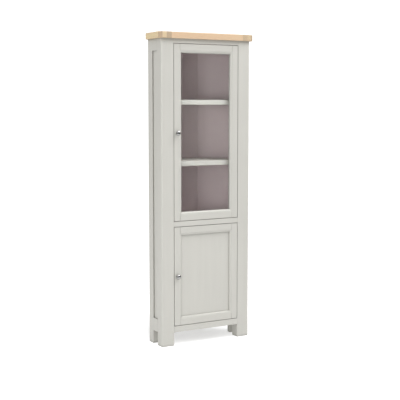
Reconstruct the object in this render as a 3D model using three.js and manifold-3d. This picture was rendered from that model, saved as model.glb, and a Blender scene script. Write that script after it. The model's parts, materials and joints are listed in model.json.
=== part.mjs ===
import * as THREE from 'three';
import { mergeVertices, toCreasedNormals } from 'three/addons/utils/BufferGeometryUtils.js';
import Module from 'manifold-3d';

const wasm = await Module();
wasm.setup();

// A corner cupboard in millimetres: X runs across, Y runs back from the door faces, Z runs up.
// Each side return stands square to the front, and the back follows two walls at 45 degrees.

// Whole carcass
const overallHeight = 1800;
const carcassWidth = 584;
const returnDepth = 166;
const backDepth = 334;
const footHeight = 78;

// Clearances
const fitGap = 0.3;
const shelfClearance = 1;
const cutOverrun = 1;

// Oak top
const topThickness = 36;
const topOverhang = 18;
const topWallOverhang = 8;
const topCornerClip = 18;
const topEdgeRadius = 3;
const topEndWidth = 76;

// Posts and legs
const frontPostWidth = 78;
const frontPostDepth = 58;
const frontPostCornerRadius = 9;
const rearPostWidth = 60;
const rearPostSideDepth = 51.5;
const rearPostLip = 10;
const rearPostSeat = 16;
const backLegWidth = 55;
const backLegDepth = 50;
const backLegReach = 18;

// Front rails between the posts
const frontRailThickness = 22;
const frontTopRailHeight = 26;
const frontMidRailHeight = 30;
const frontBottomRailHeight = 36;
const lowerOpeningHeight = 581;
const tenonLength = 12;
const tenonThickness = 10;
const tenonShoulder = 4;
const tenonSetBack = 6;

// Side frames with a panel in a groove
const sideRailThickness = 22;
const sideTopRailHeight = 66;
const sideBottomRailHeight = 75;
const sidePanelThickness = 9;
const sidePanelRecess = 8;
const sideGrooveDepth = 8;

// Back panels and boards
const backPanelThickness = 9;
const boardThickness = 18;
const midBoardDrop = 9;
const baseBoardDrop = 6;

// Display shelves and their pins
const shelfCount = 2;
const shelfThickness = 28;
const shelfSetBack = 34;
const pinCollarRadius = 4.5;
const pinCollarLength = 9;
const pinStemRadius = 2.5;
const pinStemLength = 8;
const frontPinSetBack = 12;
const rearPinSetBack = 13.5;

// Doors
const doorGap = 3;
const doorThickness = 22;
const doorFaceWidth = 36;
const mouldingWidth = 14;
const mouldingDepth = 12;
const mouldingQuirk = 1.2;
const glassSeat = 13;
const glassThickness = 4;
const glassRebate = 10;
const doorPanelSeat = 13;
const doorPanelThickness = 5;
const doorGrooveDepth = 10;
const doorOpening = 110;

// Knobs
const knobRadius = 15;
const knobProjection = 26;
const knobHeadThickness = 18;
const knobNeckRadius = 4.5;
const knobBaseRadius = 8;
const knobBaseThickness = 2.5;

// Concealed hinges
const hingeInset = 90;
const cupRadius = 13;
const cupDepth = 11;
const cupWall = 1.5;
const cupEdgeDistance = 4;
const rimWidth = 1.5;
const rimThickness = 1.2;
const cupWingLength = 44;
const cupWingWidth = 12;
const armPlateLength = 40;
const armPlateDepth = 30;
const armPlateThickness = 2;
const armHeight = 12;
const armThickness = 7;
const armNoseReach = 6;
const armNoseDepth = 8;

// Magnetic catches and their strike plates
const catchAboveKnob = 70;
const catchWidth = 12;
const catchDepth = 24;
const catchBodyHeight = 28;
const catchBaseHeight = 46;
const catchBaseThickness = 3;
const strikeWidth = 12;
const strikeHeight = 40;
const strikeThickness = 1.5;
const strikeCornerRadius = 3;
const strikeEdgeDistance = 1;

// Smoothness of round forms
const cornerSteps = 6;
const mouldingSteps = 6;
const roundSides = 32;
const pinSides = 16;
const knobSides = 28;
const knobSteps = 12;
const creaseAngle = Math.PI / 6;

// Places that follow from the sizes above
const halfWidth = carcassWidth / 2;
const carcassHeight = overallHeight - topThickness;
const carcassTop = carcassHeight - fitGap;
const lowerOpeningBottom = footHeight + frontBottomRailHeight;
const lowerOpeningTop = lowerOpeningBottom + lowerOpeningHeight;
const upperOpeningBottom = lowerOpeningTop + frontMidRailHeight;
const upperOpeningTop = carcassHeight - frontTopRailHeight;
const openingHalfWidth = halfWidth - frontPostWidth;
const rearPostFront = returnDepth - rearPostSideDepth;
const sideOpeningBottom = footHeight + sideBottomRailHeight;
const sideOpeningTop = carcassHeight - sideTopRailHeight;
const sidePanelInner = sidePanelRecess + sidePanelThickness;
const backCornerInset = backDepth - returnDepth;
const frontBoardEdge = frontRailThickness + fitGap;
const baseBoardTop = lowerOpeningBottom - baseBoardDrop;
const baseBoardBottom = baseBoardTop - boardThickness;
const midBoardTop = upperOpeningBottom - midBoardDrop;
const ceilingBottom = carcassTop - boardThickness;
const displayHeight = ceilingBottom - midBoardTop;
const shelfSpacing = (displayHeight + shelfThickness) / (shelfCount + 1);
const doorHalfWidth = openingHalfWidth - doorGap;
const doorMemberWidth = doorFaceWidth + mouldingWidth;
const doorBack = doorThickness + fitGap;
const cupCentreFromEdge = cupEdgeDistance + cupRadius;
const rimBack = doorBack + rimThickness;
const strikeBack = doorBack + strikeThickness;
const frontReach = Math.max(knobProjection + fitGap, topOverhang);
const backReach = backDepth + topWallOverhang;
const depthCentre = (backReach - frontReach) / 2;
const diagonal = Math.SQRT1_2;
const halfBackTurn = Math.PI / 8;
const left = -1;
const right = 1;

const paint = new THREE.MeshStandardMaterial({ color: 0xd3d1c8, roughness: 0.55, metalness: 0 });
const inside = new THREE.MeshStandardMaterial({ color: 0x9a8d8a, roughness: 0.6, metalness: 0 });
const oak = new THREE.MeshStandardMaterial({ color: 0xe3c5a0, roughness: 0.5, metalness: 0 });
const chrome = new THREE.MeshStandardMaterial({ color: 0xc9c9c6, roughness: 0.1, metalness: 1 });
const steel = new THREE.MeshStandardMaterial({ color: 0xb4b3ae, roughness: 0.35, metalness: 1 });
const plastic = new THREE.MeshStandardMaterial({ color: 0xe9e8e4, roughness: 0.5, metalness: 0 });
const glass = new THREE.MeshStandardMaterial({
  color: 0xdfe8e4,
  roughness: 0.05,
  metalness: 0,
  transparent: true,
  opacity: 0.3,
});

const cupboard = new THREE.Group();
cupboard.position.y = -depthCentre;

// A closed three.js geometry as a solid that can be joined and cut
function toSolid(geometry) {
  geometry.deleteAttribute('normal');
  geometry.deleteAttribute('uv');
  const merged = mergeVertices(geometry);
  const vertProperties = new Float32Array(merged.getAttribute('position').array);
  const triVerts = new Uint32Array(merged.getIndex().array);
  return new wasm.Manifold(new wasm.Mesh({ numProp: 3, vertProperties, triVerts }));
}

function addPiece(name, solid, material) {
  const { vertProperties, triVerts } = solid.getMesh();
  const geometry = new THREE.BufferGeometry();
  geometry.setAttribute('position', new THREE.BufferAttribute(new Float32Array(vertProperties), 3));
  geometry.setIndex(new THREE.BufferAttribute(new Uint32Array(triVerts), 1));
  const mesh = new THREE.Mesh(toCreasedNormals(geometry, creaseAngle), material);
  mesh.name = name;
  cupboard.add(mesh);
}

function extrusion(outline, length, holes = []) {
  const shape = new THREE.Shape(outline.map(([a, b]) => new THREE.Vector2(a, b)));
  for (const hole of holes) {
    shape.holes.push(new THREE.Path(hole.map(([a, b]) => new THREE.Vector2(a, b))));
  }
  return new THREE.ExtrudeGeometry(shape, { depth: length, bevelEnabled: false });
}

// An outline in X and Y that stands from bottom to top
function prismUp(outline, bottom, top) {
  return toSolid(extrusion(outline, top - bottom).translate(0, 0, bottom));
}

// An outline in Y and Z that runs across from one X to the other
function prismAcross(outline, start, end) {
  const turn = new THREE.Matrix4().makeBasis(
    new THREE.Vector3(0, 1, 0),
    new THREE.Vector3(0, 0, 1),
    new THREE.Vector3(1, 0, 0),
  );
  return toSolid(extrusion(outline, end - start).applyMatrix4(turn).translate(start, 0, 0));
}

// An outline in X and Z, with holes, that runs from the front to the back
function prismBack(outline, front, back, holes = []) {
  return toSolid(extrusion(outline, back - front, holes).rotateX(Math.PI / 2).translate(0, back, 0));
}

function block(x0, x1, y0, y1, z0, z1) {
  const low = new THREE.Vector3(Math.min(x0, x1), y0, z0);
  const high = new THREE.Vector3(Math.max(x0, x1), y1, z1);
  const size = high.clone().sub(low);
  const centre = low.clone().add(high).multiplyScalar(0.5);
  const geometry = new THREE.BoxGeometry(size.x, size.y, size.z);
  return toSolid(geometry.translate(centre.x, centre.y, centre.z));
}

function rectangle(x0, x1, y0, y1) {
  return [[x0, y0], [x1, y0], [x1, y1], [x0, y1]];
}

function signedArea(outline) {
  return outline.reduce((sum, [x, y], i) => {
    const [nextX, nextY] = outline[(i + 1) % outline.length];
    return sum + (x * nextY - nextX * y) / 2;
  }, 0);
}

// The outline moved outwards by a clearance, with mitred corners
function grow(outline, distance) {
  const outward = distance * Math.sign(signedArea(outline));
  const count = outline.length;
  const normal = (i) => {
    const [x0, y0] = outline[i % count];
    const [x1, y1] = outline[(i + 1) % count];
    const length = Math.hypot(x1 - x0, y1 - y0);
    return [(y1 - y0) / length, (x0 - x1) / length];
  };
  return outline.map(([x, y], i) => {
    const [ax, ay] = normal(i + count - 1);
    const [bx, by] = normal(i);
    const reach = outward / (1 + ax * bx + ay * by);
    return [x + (ax + bx) * reach, y + (ay + by) * reach];
  });
}

// A point given by its distance from one side of the carcass
function fromSide(side, inset, depth) {
  return [side * (halfWidth - inset), depth];
}

function arcPoints(centreX, centreY, radius, startAngle, endAngle, steps) {
  return Array.from({ length: steps + 1 }, (_, i) => {
    const angle = startAngle + ((endAngle - startAngle) * i) / steps;
    return [centreX + radius * Math.cos(angle), centreY + radius * Math.sin(angle)];
  });
}

// A profile of radius and height turned round an axis that points forwards
function turnedForwards(profile, sides, x, y, z) {
  const points = profile.map(([radius, height]) => new THREE.Vector2(radius, height));
  return toSolid(new THREE.LatheGeometry(points, sides).rotateX(Math.PI).translate(x, y, z));
}

// A profile of radius and height turned round an axis that points across
function turnedAcross(profile, sides, direction, x, y, z) {
  const points = profile.map(([radius, height]) => new THREE.Vector2(radius, height));
  const geometry = new THREE.LatheGeometry(points, sides);
  return toSolid(geometry.rotateZ((-direction * Math.PI) / 2).translate(x, y, z));
}

function frontPostOutline(side) {
  const corner = arcPoints(
    frontPostCornerRadius,
    frontPostCornerRadius,
    frontPostCornerRadius,
    Math.PI,
    1.5 * Math.PI,
    cornerSteps,
  );
  const points = [
    ...corner,
    [frontPostWidth, 0],
    [frontPostWidth, frontPostDepth],
    [0, frontPostDepth],
  ];
  return points.map(([inset, depth]) => fromSide(side, inset, depth));
}

// The post ends on the wall line with a lip, and a rebate behind the lip seats the back panel
function rearPostOutline(side) {
  const lipEnd = rearPostLip * diagonal;
  const rebate = (backPanelThickness + fitGap) * diagonal;
  const seat = rearPostSeat * diagonal;
  const seatInset = lipEnd + rebate + seat;
  const seatDepth = returnDepth + lipEnd - rebate + seat;
  const points = [
    [0, rearPostFront],
    [rearPostWidth, rearPostFront],
    [rearPostWidth, seatDepth - (rearPostWidth - seatInset)],
    [seatInset, seatDepth],
    [lipEnd + rebate, returnDepth + lipEnd - rebate],
    [lipEnd, returnDepth + lipEnd],
    [0, returnDepth],
  ];
  return points.map(([inset, depth]) => fromSide(side, inset, depth));
}

// A square leg whose outer back corner is planed to the wall line
function backLegOutline(side) {
  const outer = backCornerInset - backLegReach;
  const inner = outer + backLegWidth;
  const front = backDepth - backLegDepth;
  const points = [
    [outer, front],
    [inner, front],
    [inner, backDepth],
    [backCornerInset, backDepth],
    [outer, returnDepth + outer],
  ];
  return points.map(([inset, depth]) => fromSide(side, inset, depth));
}

// A board that fills the carcass between the sides and the back panels, notched round the posts
function boardSolid(front, sideInset, clearance, bottom, top) {
  const panelFace = backPanelThickness + clearance;
  const cornerInset = backCornerInset + panelFace * Math.tan(halfBackTurn);
  const half = [
    [sideInset, front],
    [sideInset, returnDepth + sideInset - panelFace / diagonal],
    [cornerInset, backDepth - panelFace],
  ];
  const leftHalf = half.map(([inset, depth]) => fromSide(left, inset, depth));
  const rightHalf = half.map(([inset, depth]) => fromSide(right, inset, depth)).reverse();
  let board = prismUp([...leftHalf, ...rightHalf], bottom, top);
  for (const side of [left, right]) {
    for (const outline of [frontPostOutline(side), rearPostOutline(side)]) {
      const notch = grow(outline, clearance);
      board = board.subtract(prismUp(notch, bottom - cutOverrun, top + cutOverrun));
    }
  }
  return board;
}

// The shelves part the display space into equal clear heights, and their pins lie just below them
function shelfTop(index) {
  return midBoardTop + shelfSpacing * (index + 1);
}

function pinHeight(index) {
  return shelfTop(index) - shelfThickness - fitGap - pinCollarRadius;
}

const pinPlaces = [
  { row: 'front', inset: frontPostWidth, depth: shelfSetBack + frontPinSetBack },
  { row: 'rear', inset: rearPostWidth, depth: rearPostFront + rearPinSetBack },
];

// Stem holes that one row of pins leaves in a post
function cutPinHoles(post, side, place) {
  const radius = pinStemRadius + fitGap;
  const length = pinStemLength + fitGap;
  const profile = [[0, -cutOverrun], [radius, -cutOverrun], [radius, length], [0, length]];
  const [face] = fromSide(side, place.inset, 0);
  let result = post;
  for (let index = 0; index < shelfCount; index += 1) {
    const hole = turnedAcross(profile, pinSides, side, face, place.depth, pinHeight(index));
    result = result.subtract(hole);
  }
  return result;
}

// The groove that takes a side panel and the tongues of the side rails
function sideGroove(side, front, back) {
  const [outer] = fromSide(side, sidePanelRecess - fitGap, 0);
  const [inner] = fromSide(side, sidePanelInner + fitGap, 0);
  return block(outer, inner, front, back, footHeight, carcassHeight + cutOverrun);
}

const frontRails = [
  { name: 'front_top_rail', bottom: upperOpeningTop, top: carcassTop },
  { name: 'front_mid_rail', bottom: lowerOpeningTop, top: upperOpeningBottom },
  { name: 'front_bottom_rail', bottom: footHeight, top: lowerOpeningBottom },
];

function addFrontPost(side, name) {
  let post = prismUp(frontPostOutline(side), 0, carcassTop);
  const grooveFront = frontPostDepth - sideGrooveDepth - fitGap;
  post = post.subtract(sideGroove(side, grooveFront, frontPostDepth + cutOverrun));
  const [mortiseEnd] = fromSide(side, frontPostWidth - tenonLength - fitGap, 0);
  const [mortiseMouth] = fromSide(side, frontPostWidth + cutOverrun, 0);
  for (const rail of frontRails) {
    const mortise = block(
      mortiseEnd,
      mortiseMouth,
      tenonSetBack - fitGap,
      tenonSetBack + tenonThickness + fitGap,
      rail.bottom + tenonShoulder - fitGap,
      rail.top - tenonShoulder + fitGap,
    );
    post = post.subtract(mortise);
  }
  addPiece(name, cutPinHoles(post, side, pinPlaces[0]), paint);
}

function addRearPost(side, name) {
  let post = prismUp(rearPostOutline(side), 0, carcassTop);
  const grooveBack = rearPostFront + sideGrooveDepth + fitGap;
  post = post.subtract(sideGroove(side, rearPostFront - cutOverrun, grooveBack));
  addPiece(name, cutPinHoles(post, side, pinPlaces[1]), paint);
}

function addBackLeg(side, name) {
  addPiece(name, prismUp(backLegOutline(side), 0, baseBoardBottom - fitGap), paint);
}

function addFrontRail({ name, bottom, top }) {
  const reach = openingHalfWidth - fitGap;
  const rail = block(-reach, reach, 0, frontRailThickness, bottom, top);
  const tenonReach = openingHalfWidth + tenonLength;
  const tenons = block(
    -tenonReach,
    tenonReach,
    tenonSetBack,
    tenonSetBack + tenonThickness,
    bottom + tenonShoulder,
    top - tenonShoulder,
  );
  addPiece(name, rail.add(tenons), paint);
}

// Tongues at both ends sit in the posts' grooves, and a groove in one edge takes the panel
function addSideRail(side, name, bottom, top, grooveBottom, grooveTop) {
  const [outer] = fromSide(side, 0, 0);
  const [inner] = fromSide(side, sideRailThickness, 0);
  const [panelOuter] = fromSide(side, sidePanelRecess, 0);
  const [panelInner] = fromSide(side, sidePanelInner, 0);
  const [grooveOuter] = fromSide(side, sidePanelRecess - fitGap, 0);
  const [grooveInner] = fromSide(side, sidePanelInner + fitGap, 0);
  const front = frontPostDepth + fitGap;
  const back = rearPostFront - fitGap;
  const tongueFront = frontPostDepth - sideGrooveDepth;
  const tongueBack = rearPostFront + sideGrooveDepth;
  const tongue = block(panelOuter, panelInner, tongueFront, tongueBack, bottom + fitGap, top);
  const groove = block(
    grooveOuter,
    grooveInner,
    tongueFront - cutOverrun,
    tongueBack + cutOverrun,
    grooveBottom,
    grooveTop,
  );
  addPiece(name, block(outer, inner, front, back, bottom, top).add(tongue).subtract(groove), paint);
}

function addSidePanel(side, name) {
  const [outer] = fromSide(side, sidePanelRecess, 0);
  const [inner] = fromSide(side, sidePanelInner, 0);
  const panel = block(
    outer,
    inner,
    frontPostDepth - sideGrooveDepth,
    rearPostFront + sideGrooveDepth,
    sideOpeningBottom - sideGrooveDepth + fitGap,
    sideOpeningTop + sideGrooveDepth - fitGap,
  );
  addPiece(name, panel, paint);
}

function addSides() {
  for (const [side, word] of [[left, 'left'], [right, 'right']]) {
    addFrontPost(side, `front_post_${word}`);
    addRearPost(side, `rear_post_${word}`);
    addBackLeg(side, `back_leg_${word}`);
    addSideRail(
      side,
      `side_top_rail_${word}`,
      sideOpeningTop,
      carcassTop,
      sideOpeningTop - cutOverrun,
      sideOpeningTop + sideGrooveDepth,
    );
    addSideRail(
      side,
      `side_bottom_rail_${word}`,
      footHeight,
      sideOpeningBottom,
      sideOpeningBottom - sideGrooveDepth,
      sideOpeningBottom + cutOverrun,
    );
    addSidePanel(side, `side_panel_${word}`);
  }
}

// The two wall panels and the flat one between them meet in mitres
function addBackPanels() {
  const thickness = backPanelThickness;
  const mitreShift = fitGap / 2 / Math.cos(halfBackTurn);
  const innerCornerInset = backCornerInset + thickness * Math.tan(halfBackTurn);
  const innerDepth = backDepth - thickness;
  const start = (rearPostLip + fitGap) * diagonal;
  const across = thickness * diagonal;
  const slant = mitreShift * diagonal;
  const wallPoints = [
    [start, returnDepth + start],
    [start + across, returnDepth + start - across],
    [innerCornerInset - slant, innerDepth - slant],
    [backCornerInset - slant, backDepth - slant],
  ];
  for (const [side, name] of [[left, 'back_panel_left'], [right, 'back_panel_right']]) {
    const outline = wallPoints.map(([inset, depth]) => fromSide(side, inset, depth));
    addPiece(name, prismUp(outline, baseBoardBottom, carcassTop), inside);
  }
  const outerReach = halfWidth - backCornerInset - mitreShift;
  const innerReach = halfWidth - innerCornerInset - mitreShift;
  const flatOutline = [
    [-outerReach, backDepth],
    [-innerReach, innerDepth],
    [innerReach, innerDepth],
    [outerReach, backDepth],
  ];
  addPiece('back_panel_centre', prismUp(flatOutline, baseBoardBottom, carcassTop), inside);
}

function addBoards() {
  const behindRail = sideRailThickness + fitGap;
  const behindPanel = sidePanelInner + fitGap;
  const boards = [
    ['ceiling_board', behindRail, ceilingBottom],
    ['mid_board', behindPanel, midBoardTop - boardThickness],
    ['base_board', behindRail, baseBoardBottom],
  ];
  for (const [name, sideInset, bottom] of boards) {
    const board = boardSolid(frontBoardEdge, sideInset, fitGap, bottom, bottom + boardThickness);
    addPiece(name, board, inside);
  }
}

function addPin(name, side, place, index) {
  const profile = [
    [0, -pinStemLength],
    [pinStemRadius, -pinStemLength],
    [pinStemRadius, fitGap],
    [pinCollarRadius, fitGap],
    [pinCollarRadius, pinCollarLength],
    [0, pinCollarLength],
  ];
  const [face] = fromSide(side, place.inset, 0);
  const pin = turnedAcross(profile, pinSides, -side, face, place.depth, pinHeight(index));
  addPiece(name, pin, steel);
}

function addShelves() {
  const sideInset = sidePanelInner + shelfClearance;
  for (let index = 0; index < shelfCount; index += 1) {
    const top = shelfTop(index);
    const name = `shelf_${index + 1}`;
    const shelf = boardSolid(shelfSetBack, sideInset, shelfClearance, top - shelfThickness, top);
    addPiece(name, shelf, paint);
    for (const [side, word] of [[left, 'left'], [right, 'right']]) {
      for (const place of pinPlaces) {
        addPin(`${name}_pin_${place.row}_${word}`, side, place, index);
      }
    }
  }
}

// The oak top is shaped in one piece with an eased edge, then parted along the two end joints
function addOakTop() {
  const wallShift = topWallOverhang / diagonal;
  const half = [
    [topCornerClip - topOverhang, -topOverhang],
    [-topOverhang, topCornerClip - topOverhang],
    [-topOverhang, returnDepth - topOverhang + wallShift],
    [backReach - returnDepth - wallShift, backReach],
  ];
  const leftHalf = half.map(([inset, depth]) => fromSide(left, inset, depth));
  const rightHalf = half.map(([inset, depth]) => fromSide(right, inset, depth)).reverse();
  const points = [...leftHalf, ...rightHalf].map(([x, y]) => new THREE.Vector2(x, y));
  const geometry = new THREE.ExtrudeGeometry(new THREE.Shape(points), {
    depth: topThickness - 2 * topEdgeRadius,
    bevelThickness: topEdgeRadius,
    bevelSize: topEdgeRadius,
    bevelOffset: -topEdgeRadius,
    bevelSegments: 3,
  });
  const whole = toSolid(geometry.translate(0, 0, carcassHeight + topEdgeRadius));
  const edge = halfWidth + topOverhang + cutOverrun;
  const seam = halfWidth + topOverhang - topEndWidth;
  const band = (x0, x1) => block(
    x0,
    x1,
    -topOverhang - cutOverrun,
    backReach + cutOverrun,
    carcassHeight - cutOverrun,
    overallHeight + cutOverrun,
  );
  addPiece('oak_top_end_left', whole.intersect(band(-edge, -seam - fitGap)), oak);
  addPiece('oak_top_panel', whole.intersect(band(-seam, seam)), oak);
  addPiece('oak_top_end_right', whole.intersect(band(seam + fitGap, edge)), oak);
}

// The ovolo on the inner edge of a door member: a small step down from the face, then a quarter round
const ovolo = Array.from({ length: mouldingSteps + 1 }, (_, i) => {
  const angle = ((Math.PI / 2) * i) / mouldingSteps;
  return [
    doorFaceWidth + mouldingWidth * Math.sin(angle),
    mouldingDepth - (mouldingDepth - mouldingQuirk) * Math.cos(angle),
  ];
});

// Sections of the door members, from the outer edge inwards and from the front face back
const glazedSection = [
  [0, 0],
  [doorFaceWidth, 0],
  ...ovolo,
  [doorMemberWidth, glassSeat],
  [doorMemberWidth - glassRebate, glassSeat],
  [doorMemberWidth - glassRebate, doorThickness],
  [0, doorThickness],
];
const panelGrooveEnd = doorPanelSeat + doorPanelThickness + 2 * fitGap;
const panelledSection = [
  [0, 0],
  [doorFaceWidth, 0],
  ...ovolo,
  [doorMemberWidth, doorPanelSeat],
  [doorMemberWidth - doorGrooveDepth, doorPanelSeat],
  [doorMemberWidth - doorGrooveDepth, panelGrooveEnd],
  [doorMemberWidth, panelGrooveEnd],
  [doorMemberWidth, doorThickness],
  [0, doorThickness],
];

// The rails are coped: their ends are cut to the stiles' own section, which leaves a tongue in the groove
function addDoorFrame(door) {
  const { prefix, bottom, top, section, seatInset } = door;
  const stileOutline = (side) => section.map(([inset, y]) => [side * (doorHalfWidth - inset), y]);
  const railEnd = doorHalfWidth - doorMemberWidth + seatInset - fitGap;
  const rails = [
    [`${prefix}_rail_bottom`, section.map(([inset, y]) => [y, bottom + inset])],
    [`${prefix}_rail_top`, section.map(([inset, y]) => [y, top - inset])],
  ];
  for (const [name, outline] of rails) {
    let rail = prismAcross(outline, -railEnd, railEnd);
    for (const side of [left, right]) {
      const cope = grow(stileOutline(side), fitGap);
      rail = rail.subtract(prismUp(cope, bottom - cutOverrun, top + cutOverrun));
    }
    addPiece(name, rail, paint);
  }
  addPiece(`${prefix}_stile_left`, prismUp(stileOutline(left), bottom, top), paint);
  let hingeStile = prismUp(stileOutline(right), bottom, top);
  for (const { height } of hingePlaces(door)) {
    hingeStile = hingeStile.subtract(cupBore(height));
  }
  addPiece(`${prefix}_stile_right`, hingeStile, paint);
}

function hingePlaces({ bottom, top }) {
  return [
    { word: 'top', height: top - hingeInset },
    { word: 'bottom', height: bottom + hingeInset },
  ];
}

const cupCentre = doorHalfWidth - cupCentreFromEdge;

function cupBore(height) {
  const radius = cupRadius + fitGap;
  const length = cupDepth + fitGap;
  const profile = [[0, -cutOverrun], [radius, -cutOverrun], [radius, length], [0, length]];
  return turnedForwards(profile, roundSides, cupCentre, doorThickness, height);
}

// A steel cup let into the stile from behind, with a rim and two screw wings
function addHingeCup(name, height) {
  const innerRadius = cupRadius - cupWall;
  const lip = rimThickness + fitGap;
  const outside = [
    [0, -lip],
    [cupRadius + rimWidth, -lip],
    [cupRadius + rimWidth, -fitGap],
    [cupRadius, -fitGap],
    [cupRadius, cupDepth],
    [0, cupDepth],
  ];
  const hollow = [
    [0, -lip - cutOverrun],
    [innerRadius, -lip - cutOverrun],
    [innerRadius, cupDepth - cupWall],
    [0, cupDepth - cupWall],
  ];
  const wings = block(
    cupCentre - cupWingWidth / 2,
    cupCentre + cupWingWidth / 2,
    doorBack,
    rimBack,
    height - cupWingLength / 2,
    height + cupWingLength / 2,
  );
  const [body, bore] = [outside, hollow].map((profile) => (
    turnedForwards(profile, roundSides, cupCentre, doorThickness, height)
  ));
  addPiece(name, body.add(wings).subtract(bore), steel);
}

// The arm bears on the rim beside the post and is carried by a plate on the post's inner face
function addHingeArm(name, height) {
  const face = openingHalfWidth - fitGap;
  const plateFace = face - armPlateThickness;
  const noseFront = rimBack + fitGap;
  const plateFront = noseFront + armNoseDepth / 2;
  const plateBack = plateFront + armPlateDepth;
  const armBack = plateBack - armNoseDepth / 2;
  const outline = [
    [cupCentre - armNoseReach, noseFront],
    [cupCentre + cupRadius, noseFront],
    [face, plateFront],
    [face, armBack],
    [plateFace - armThickness, armBack],
    [plateFace - armThickness, noseFront + armNoseDepth + armThickness],
    [cupCentre - armNoseReach, noseFront + armNoseDepth],
  ];
  const arm = prismUp(outline, height - armHeight / 2, height + armHeight / 2);
  const plateBottom = height - armPlateLength / 2;
  const plate = block(
    plateFace,
    face,
    plateFront,
    plateBack,
    plateBottom,
    plateBottom + armPlateLength,
  );
  addPiece(name, arm.add(plate), steel);
}

function addKnob(name, x, z) {
  const halfHead = knobHeadThickness / 2;
  const headCentre = knobProjection - halfHead;
  const headStart = -Math.acos(knobNeckRadius / knobRadius);
  const head = Array.from({ length: knobSteps + 1 }, (_, i) => {
    const angle = headStart + ((Math.PI / 2 - headStart) * i) / knobSteps;
    const radius = i === knobSteps ? 0 : knobRadius * Math.cos(angle);
    return [radius, headCentre + halfHead * Math.sin(angle)];
  });
  const profile = [
    [0, 0],
    [knobBaseRadius, 0],
    [knobBaseRadius, knobBaseThickness / 2],
    [knobNeckRadius, knobBaseThickness],
    ...head,
  ];
  addPiece(name, turnedForwards(profile, knobSides, x, -fitGap, z), chrome);
}

function addStrike(name, height) {
  const x0 = -doorHalfWidth + strikeEdgeDistance + strikeCornerRadius;
  const x1 = -doorHalfWidth + strikeEdgeDistance + strikeWidth - strikeCornerRadius;
  const z0 = height - strikeHeight / 2 + strikeCornerRadius;
  const z1 = height + strikeHeight / 2 - strikeCornerRadius;
  const corners = [[x1, z1], [x0, z1], [x0, z0], [x1, z0]];
  const outline = corners.flatMap(([x, z], i) => {
    const start = (i * Math.PI) / 2;
    return arcPoints(x, z, strikeCornerRadius, start, start + Math.PI / 2, cornerSteps);
  });
  addPiece(name, prismBack(outline, doorBack, strikeBack), steel);
}

function addCatch(name, height) {
  const face = -openingHalfWidth + fitGap;
  const front = strikeBack + fitGap;
  const back = front + catchDepth;
  const halfBody = catchBodyHeight / 2;
  const halfBase = catchBaseHeight / 2;
  const body = block(face, face + catchWidth, front, back, height - halfBody, height + halfBody);
  const base = block(face, face + catchBaseThickness, front, back, height - halfBase, height + halfBase);
  addPiece(name, body.add(base), plastic);
}

function addDoorFittings(door) {
  const { prefix, bottom, top, armPrefix } = door;
  const middle = (bottom + top) / 2;
  addKnob(`${prefix}_knob`, -doorHalfWidth + doorFaceWidth / 2, middle);
  addStrike(`${prefix}_strike`, middle + catchAboveKnob);
  addCatch(`${armPrefix}_catch`, middle + catchAboveKnob);
  for (const { word, height } of hingePlaces(door)) {
    addHingeCup(`${prefix}_hinge_cup_${word}`, height);
    addHingeArm(`${armPrefix}_hinge_arm_${word}`, height);
  }
}

// The pane lies in the rebate, held by a strip that runs right round behind it
function addGlazing({ prefix, bottom, top }) {
  const seat = doorMemberWidth - glassRebate + fitGap;
  const outline = rectangle(
    -doorHalfWidth + seat,
    doorHalfWidth - seat,
    bottom + seat,
    top - seat,
  );
  const sight = rectangle(
    -doorHalfWidth + doorMemberWidth,
    doorHalfWidth - doorMemberWidth,
    bottom + doorMemberWidth,
    top - doorMemberWidth,
  );
  const front = glassSeat + fitGap;
  const back = front + glassThickness;
  addPiece(`${prefix}_glass`, prismBack(outline, front, back), glass);
  addPiece(`${prefix}_glass_retainer`, prismBack(outline, back + fitGap, doorThickness, [sight]), paint);
}

function addDoorPanel({ prefix, bottom, top }) {
  const seat = doorMemberWidth - doorGrooveDepth + fitGap;
  const front = doorPanelSeat + fitGap;
  const panel = block(
    -doorHalfWidth + seat,
    doorHalfWidth - seat,
    front,
    front + doorPanelThickness,
    bottom + seat,
    top - seat,
  );
  addPiece(`${prefix}_panel`, panel, paint);
}

const upperDoor = {
  prefix: 'upper_door',
  armPrefix: 'upper',
  bottom: upperOpeningBottom + doorGap,
  top: upperOpeningTop - doorGap,
  section: glazedSection,
  seatInset: glassRebate,
};
const lowerDoor = {
  prefix: 'lower_door',
  armPrefix: 'lower',
  bottom: lowerOpeningBottom + doorGap,
  top: lowerOpeningTop - doorGap,
  section: panelledSection,
  seatInset: doorGrooveDepth,
};

addOakTop();
addSides();
for (const rail of frontRails) {
  addFrontRail(rail);
}
addBackPanels();
addBoards();
addShelves();
for (const door of [upperDoor, lowerDoor]) {
  addDoorFrame(door);
  addDoorFittings(door);
}
addGlazing(upperDoor);
addDoorPanel(lowerDoor);

// Each door turns about the middle of the gap beside its right edge, in the plane of the door faces
const hingeAxis = new THREE.Vector3(openingHalfWidth - doorGap / 2, -depthCentre, 0);
cupboard.userData.hingeAxis = hingeAxis;
cupboard.userData.doorOpeningDegrees = doorOpening;

export default cupboard;
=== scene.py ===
import json
import math

import bmesh
import bpy
from mathutils import Matrix, Vector
from mathutils.bvhtree import BVHTree


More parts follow.
